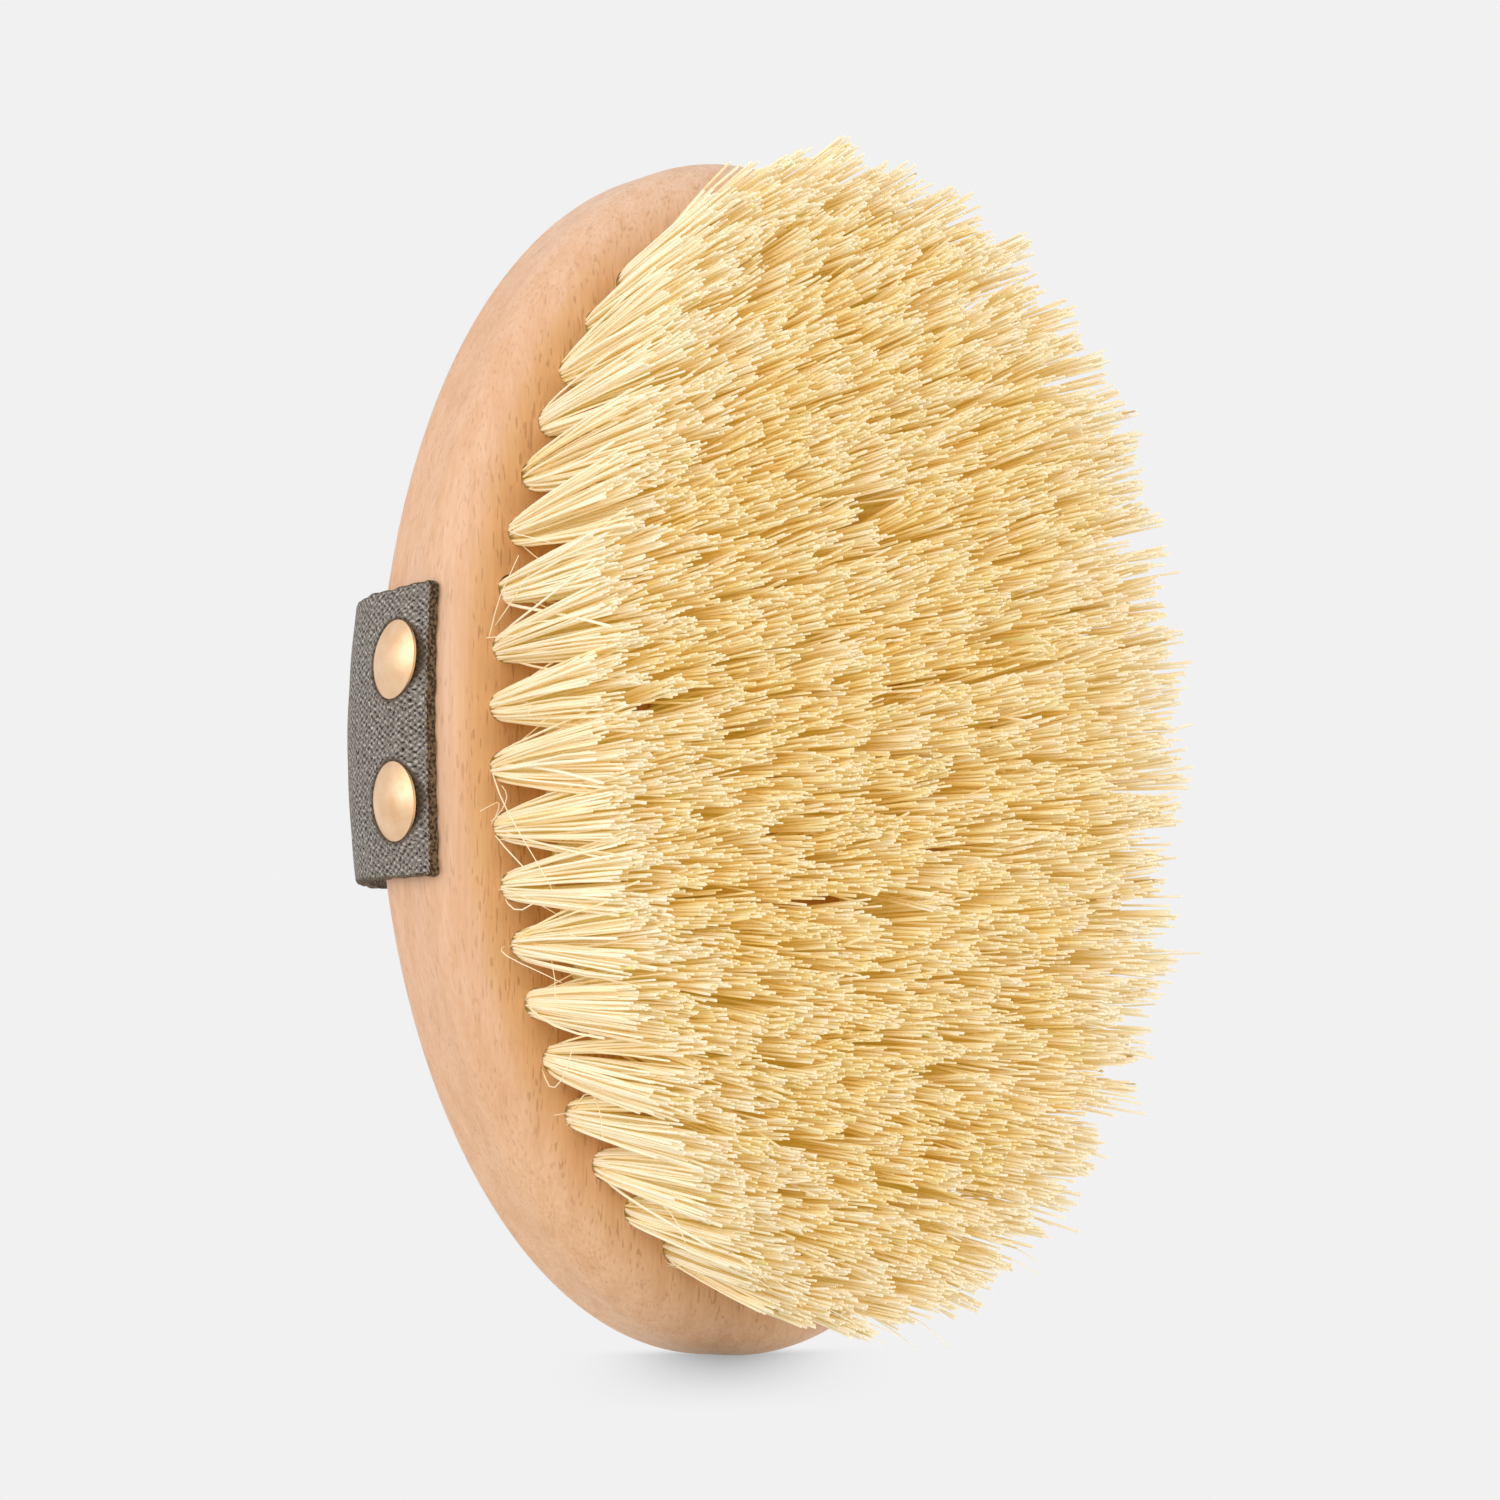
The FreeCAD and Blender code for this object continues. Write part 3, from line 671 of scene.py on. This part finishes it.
def strap_line():
    """The strap's middle line, evenly stepped from end to end: x, y, normal x and y, bow, and length so far.

    The bow says how much of the side wall's curve the strap follows there.
    """
    wall_x = strap_high.x - STRAP_THICKNESS / 2
    arch_height = strap_high.y - STRAP_THICKNESS / 2 - FACE_Y - SPRING_DEPTH
    wrap_x = HALF_WIDTH - FRONT_ROUND
    wrap_radius = wall_x - wrap_x
    rows = []
    for angle in np.radians(np.linspace(-WRAP_ANGLE, 0, 30)):
        cos, sin = math.cos(angle), math.sin(angle)
        rows.append((wrap_x + wrap_radius * cos, FACE_Y + FRONT_ROUND + wrap_radius * sin, cos, sin, cos))
    for angle in np.linspace(0, math.pi / 2, 240):
        cos, sin = math.cos(angle), math.sin(angle)
        normal = np.array([cos * arch_height, sin * wall_x])
        normal /= np.linalg.norm(normal)
        bow = TOP_BOW + (1 - TOP_BOW) * cos**2
        rows.append((wall_x * cos, FACE_Y + SPRING_DEPTH + arch_height * sin, *normal, bow))
    right = np.array(rows)
    left = right[:-1].copy()
    left[:, [0, 2]] *= -1
    line = np.concatenate([left, right[::-1]])
    steps = np.hypot(*np.diff(line[:, :2], axis=0).T)
    reach = np.concatenate([[0], np.cumsum(steps)])
    count = int(round(reach[-1] / STRAP_STEP))
    even = np.linspace(END_MARGIN, reach[-1] - END_MARGIN, count)
    places = np.concatenate([END_STATIONS, even, reach[-1] - END_STATIONS[::-1]])
    return [np.interp(places, reach, column) for column in line.T] + [places]


def ripple(rng, size, lengths):
    """A smooth irregular function of a length: a sum of sines with seeded phases."""
    terms = [(size * rng.uniform(0.5, 1.0), length * rng.uniform(0.8, 1.25), rng.random() * 6.283)
             for length in lengths]
    return lambda place: sum(swing * np.sin(place * 2 * math.pi / wave + turn) for swing, wave, turn in terms)


def make_strap():
    """The knitted strap: a closed band with rounded corners, a wavy cut edge and puckers round the tacks."""
    rng = np.random.default_rng(STRAP_SEED)
    x, y, normal_x, normal_y, bow, place = strap_line()
    total = place[-1]
    from_end = np.minimum(place, total - place)
    rounding = np.clip(CORNER_ROUND - from_end, 0, CORNER_ROUND)
    rise = (y - FACE_Y) / (strap_high.y - STRAP_THICKNESS / 2 - FACE_Y)
    half = (WAIST_WIDTH + (END_WIDTH - WAIST_WIDTH) * (1 - rise) ** 3) / 2
    half -= CORNER_ROUND - np.sqrt(CORNER_ROUND**2 - rounding**2)
    upper_wave, lower_wave = (ripple(rng, EDGE_WAVE, (3.1 * MM, 7 * MM, 17 * MM)) for _ in range(2))
    upper, lower = half + upper_wave(place), -half + lower_wave(place)

    count = int(round(END_WIDTH / STRAP_STEP))
    share = np.linspace(0, 1, count)
    height = np.ones(len(place))
    height[:len(END_HEIGHTS)], height[-len(END_HEIGHTS):] = END_HEIGHTS, END_HEIGHTS[::-1]
    edge = EDGE_INSET * EDGE_OUT
    levels = np.concatenate([np.ones(count), EDGE_LEVELS, -np.ones(count), EDGE_LEVELS[::-1]])

    def section(low, high):
        """The place across the band of each point of its closed section."""
        across = low + EDGE_INSET + (high - low - 2 * EDGE_INSET) * share
        return np.concatenate([across, high - EDGE_INSET + edge, across[::-1], low + EDGE_INSET - edge])

    width = np.array([section(*limits) for limits in zip(lower, upper)])
    level = levels * height[:, None] * STRAP_THICKNESS / 2
    recess = HALF_WIDTH * (1 - np.sqrt(1 - ((width + STRAP_LIFT) / HALF_LENGTH) ** 2))
    outer = level > 0
    cut_wave = ripple(rng, CUT_WAVE, (4 * MM, 9 * MM, 21 * MM))
    shift = level - bow[:, None] * recess
    points = np.stack([x[:, None] + normal_x[:, None] * shift,
                       y[:, None] + normal_y[:, None] * shift,
                       CENTRE_Z + STRAP_LIFT + width], 2)
    points[..., 1] += np.exp(-from_end / CUT_FADE)[:, None] * cut_wave(width)
    slant = END_SLANT * np.exp(-from_end / END_SLANT)[:, None] * (1 + level / (STRAP_THICKNESS / 2)) / 2
    along = np.stack([np.gradient(x, place), np.gradient(y, place)], 1)[:, None]
    inwards = np.where(place < total / 2, 1.0, -1.0)[:, None, None]
    points[..., :2] += slant[..., None] * along * inwards

    surface = ripple(rng, FACE_WAVE, (6 * MM, 11 * MM, 23 * MM))
    lift = surface(place[:, None] + width * 0.6) * outer
    inside = np.clip(from_end / PUCKER_FADE, 0, 1)[:, None] ** 2
    for name in ("tack_left_upper", "tack_left_lower", "tack_right_upper", "tack_right_lower"):
        low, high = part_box(name)
        middle = (low + high) / 2
        same_side = outer * (points[..., 0] * middle.x > 0)
        away = np.hypot(points[..., 1] - middle.y, points[..., 2] - middle.z)
        past = away - (high.z - low.z) / 2
        pucker = PUCKER_HEIGHT * np.exp(-((past - PUCKER_CREST) / PUCKER_WIDTH) ** 2)
        lift += pucker * MM * same_side * inside
    points[..., 0] += normal_x[:, None] * lift
    points[..., 1] += normal_y[:, None] * lift

    stations, around = width.shape
    index = np.arange(stations * around).reshape(stations, around)
    follow = np.roll(index, -1, 1)
    quads = np.stack([index[:-1], index[1:], follow[1:], follow[:-1]], 2).reshape(-1, 4)
    inner = around - EDGE_POINTS - 1 - np.arange(count)
    caps = []
    for station, order in ((0, 1), (stations - 1, -1)):
        row = index[station]
        for j in range(count - 1):
            caps.append([row[j], row[j + 1], row[inner[j + 1]], row[inner[j]]][::order])
        caps.append([row[count - 1], *row[count:count + EDGE_POINTS], row[count + EDGE_POINTS]][::order])
        caps.append([row[0], row[inner[0]], *row[around - EDGE_POINTS:]][::order])
    faces = quads.tolist() + [[int(corner) for corner in face] for face in caps]
    mesh = bpy.data.meshes.new("knit_strap")
    mesh.from_pydata(points.reshape(-1, 3).tolist(), [], faces)
    column = np.arange(around)
    upper_edge = (column >= count - 1) & (column < count + EDGE_POINTS)
    lower_edge = column >= around - EDGE_POINTS - 1
    edge_face = np.tile(upper_edge | lower_edge, stations - 1)
    cut_face = np.concatenate([edge_face, np.ones(len(caps), bool)]).astype(np.int32)

    strap_map = mesh.uv_layers.new(name=STRAP_MAP)
    corner = np.empty(len(mesh.loops), np.int32)
    mesh.loops.foreach_get("vertex_index", corner)
    along = np.repeat(place / MM, around)[corner]
    across = (width / MM).reshape(-1)[corner]
    strap_map.data.foreach_set("uv", np.stack([along, across], 1).astype(np.float32).reshape(-1))
    piece = add_piece("knit_strap", mesh, "strap_fabric", knit(), cut_edge())
    mesh.polygons.foreach_set("material_index", cut_face)
    mesh.polygons.foreach_set("use_smooth", np.ones(len(mesh.polygons), bool))
    mesh.update()
    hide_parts("hand_strap")


# ---------------------------------------------------------------- carried-over nodes

def finish_cad_nodes():
    """Gives the CAD nodes that no piece replaces their finish."""
    finishes = {"wood": beech(), "tack": brass(), "anchors": steel_wire()}
    for node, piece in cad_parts.items():
        material = finishes.get(node.split("_")[0])
        if material:
            piece.data.materials.clear()
            piece.data.materials.append(material)


# ---------------------------------------------------------------- stage, light and camera

PALE = srgb(241, 241, 241)
FLOOR_SIZE = 12.0
# The floor's shade: its reach forwards and behind the foot, its width, its darkness and how fast it fades.
SHADE_REACH = 0.150
SHADE_BEHIND = 0.03
SHADE_WIDTH = 0.0063
SHADE_DEPTH = 0.58
SHADE_POWER = 1.5
AZIMUTH = -34.0
ELEVATION = -5.21
DISTANCE = 0.56
FOCUS = Vector((0.0, FACE_Y, CENTRE_Z))
ASIDE = -1.36 * MM
ROLL = -0.63
LENS = 115.6
# Light goes on from fibre to fibre, so it needs more bounces than between plain surfaces.
DIFFUSE_BOUNCES = 12


def make_floor():
    """A pale floor that glows evenly, as a light table does, with a soft shade painted in one direction."""
    reach = FLOOR_SIZE / 2
    mesh = bpy.data.meshes.new("floor")
    mesh.from_pydata([(-reach, -reach, 0), (reach, -reach, 0), (reach, reach, 0), (-reach, reach, 0)],
                     [], [(0, 1, 2, 3)])
    floor = bpy.data.objects.new("floor", mesh)
    bpy.context.scene.collection.objects.link(floor)

    m = Nodes("pale_floor")
    x, y, _ = m.split(m.place())
    azimuth = math.radians(AZIMUTH)
    sin, cos = math.sin(azimuth), math.cos(azimuth)
    y = m.calc("SUBTRACT", y, (block_low.y + block_high.y) / 2)
    forwards = m.calc("SUBTRACT", m.calc("MULTIPLY", x, sin), m.calc("MULTIPLY", y, cos))
    sideways = m.calc("ADD", m.calc("MULTIPLY", x, cos), m.calc("MULTIPLY", y, sin))
    left = m.calc("SUBTRACT", 1.0, m.calc("DIVIDE", m.calc("ABSOLUTE", forwards), SHADE_REACH), clamp=True)
    fall = m.calc("MULTIPLY", m.calc("POWER", left, SHADE_POWER), m.fade(forwards, -SHADE_BEHIND, 0.0))
    spread = m.calc("POWER", m.calc("DIVIDE", sideways, SHADE_WIDTH), 2.0)
    narrow = m.calc("EXPONENT", m.calc("MULTIPLY", spread, -0.5))
    shade = m.calc("MULTIPLY", m.calc("MULTIPLY", fall, narrow), SHADE_DEPTH)
    glow = m.calc("SUBTRACT", 1.0, shade)
    m.tree.nodes.remove(m.shader)
    lamp = m.add("ShaderNodeEmission")
    lamp.inputs["Color"].default_value = PALE
    m.link(glow, lamp.inputs["Strength"])
    m.link(lamp.outputs[0], m.tree.nodes["Material Output"].inputs["Surface"])
    mesh.materials.append(m.material)


def make_world():
    """The same pale grey all round."""
    world = bpy.data.worlds.new("studio")
    world.use_nodes = True
    background = world.node_tree.nodes["Background"]
    background.inputs["Color"].default_value = PALE
    background.inputs["Strength"].default_value = 1.0
    bpy.context.scene.world = world


def softbox(name, place, side, power):
    """A large square soft light aimed at the middle of the brush."""
    light = bpy.data.lights.new(name, "AREA")
    light.shape = "RECTANGLE"
    light.size, light.size_y, light.energy = side, side, power
    lamp = bpy.data.objects.new(name, light)
    bpy.context.scene.collection.objects.link(lamp)
    lamp.location = place
    lamp.rotation_euler = (FOCUS - Vector(place)).to_track_quat("-Z", "Y").to_euler()
    lamp.visible_camera = False


def make_camera():
    """A long lens at the photograph's viewing angle, slightly rolled, with the brush a little to one side."""
    azimuth, elevation = math.radians(AZIMUTH), math.radians(ELEVATION)
    back = Vector((math.sin(azimuth) * math.cos(elevation),
                   -math.cos(azimuth) * math.cos(elevation), math.sin(elevation)))
    right = Vector((math.cos(azimuth), math.sin(azimuth), 0))
    camera = bpy.data.objects.new("camera", bpy.data.cameras.new("camera"))
    bpy.context.scene.collection.objects.link(camera)
    camera.data.sensor_width = 36.0
    camera.data.lens = LENS
    camera.data.clip_start, camera.data.clip_end = 0.01, 50.0
    camera.location = FOCUS + back * DISTANCE + right * ASIDE
    roll = Quaternion((0, 0, 1), math.radians(ROLL))
    camera.rotation_euler = ((-back).to_track_quat("-Z", "Y") @ roll).to_euler()
    bpy.context.scene.camera = camera


make_bristles()
make_strap()
finish_cad_nodes()
make_floor()
make_world()
softbox("key", (-0.80, -0.05, 0.35), side=0.7, power=2.0)
softbox("fill", (-0.50, -0.85, 0.08), side=0.9, power=4.5)
make_camera()
bpy.context.scene.view_settings.view_transform = "Standard"
bpy.context.scene.cycles.diffuse_bounces = DIFFUSE_BOUNCES
